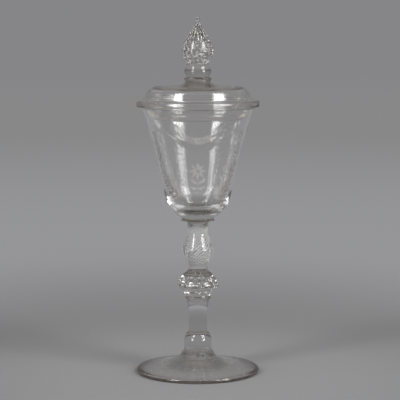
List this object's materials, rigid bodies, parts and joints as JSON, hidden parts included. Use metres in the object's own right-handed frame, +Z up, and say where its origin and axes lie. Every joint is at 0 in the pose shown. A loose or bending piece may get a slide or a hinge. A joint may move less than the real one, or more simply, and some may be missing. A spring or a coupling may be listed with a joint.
{
  "type": "lidded goblet",
  "caption": "Tall covered goblet of clear glass: disc foot, knopped stem with trapped air beads and a twisted baluster, flared bowl, and a loose cover with a pointed finial.",
  "frame": {"origin": "centre of the circle that the foot stands on", "axes": "+Z up along the stem; the engraved front of the bowl faces -Y, +X is to the right of it"},
  "size_m": [0.11, 0.11, 0.317],
  "materials": {
    "foot_glass": "hand-blown lead-free glass, fire-polished, with a faint smoky tint",
    "stem_glass": "tooled glass, fire-polished, nearly colourless",
    "bowl_glass": "blown glass, fire-polished, with matt wheel engraving",
    "cover_glass": "blown glass, fire-polished, with a faint smoky tint",
    "finial_glass": "tooled glass, fire-polished, with trapped air"
  },
  "bodies": {
    "goblet": {"foot": "foot_glass", "foot_collar": "stem_glass", "base_knop": "stem_glass", "stem_column": "stem_glass", "column_collar": "stem_glass", "beaded_knop_core": "stem_glass", "beaded_knop_casing": "stem_glass", "baluster_collar": "stem_glass", "baluster_core": "stem_glass", "baluster_casing": "stem_glass", "bowl_collar": "stem_glass", "bowl": "bowl_glass"},
    "cover": {"cover": "cover_glass", "finial_collar": "finial_glass", "finial_knop": "finial_glass", "finial_bud_core": "finial_glass", "finial_bud_casing": "finial_glass"}
  },
  "joints": [
    {"name": "cover_lift", "type": "slide", "parent": "goblet", "child": "cover", "axis": [0, 0, 1], "range_m": [0, 0.06]}
  ]
}
